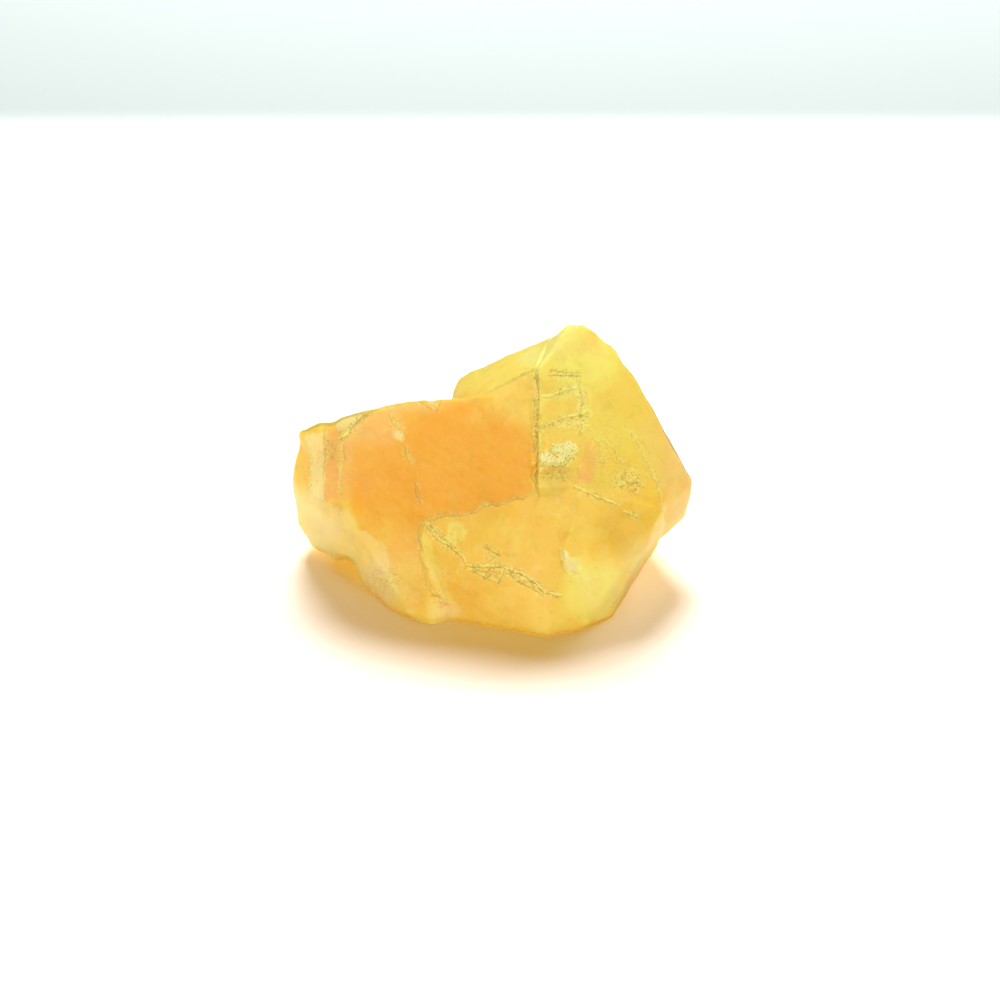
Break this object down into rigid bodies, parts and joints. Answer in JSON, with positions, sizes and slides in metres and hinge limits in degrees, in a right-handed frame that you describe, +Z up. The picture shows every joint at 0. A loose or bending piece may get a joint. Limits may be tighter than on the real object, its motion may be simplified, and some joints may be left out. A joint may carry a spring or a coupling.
{
  "type": "raw orange calcite",
  "caption": "Raw honey-orange calcite stone, cleaved into flat faces with a sloping peak at one end and a low lobe in front, lying on a flat base as a display specimen.",
  "frame": {"origin": "bottom centre of the stone's bounding box, on the surface it rests on", "axes": "+X runs along the stone's length to its pointed right end, -Y is the side with the big flat main face, +Z is up to the peak"},
  "size_m": [0.061, 0.0396, 0.0357],
  "materials": {
    "calcite": "waxy, translucent, with bright broken ledges"
  },
  "bodies": {
    "root": {"orange_calcite": "calcite"}
  },
  "joints": []
}
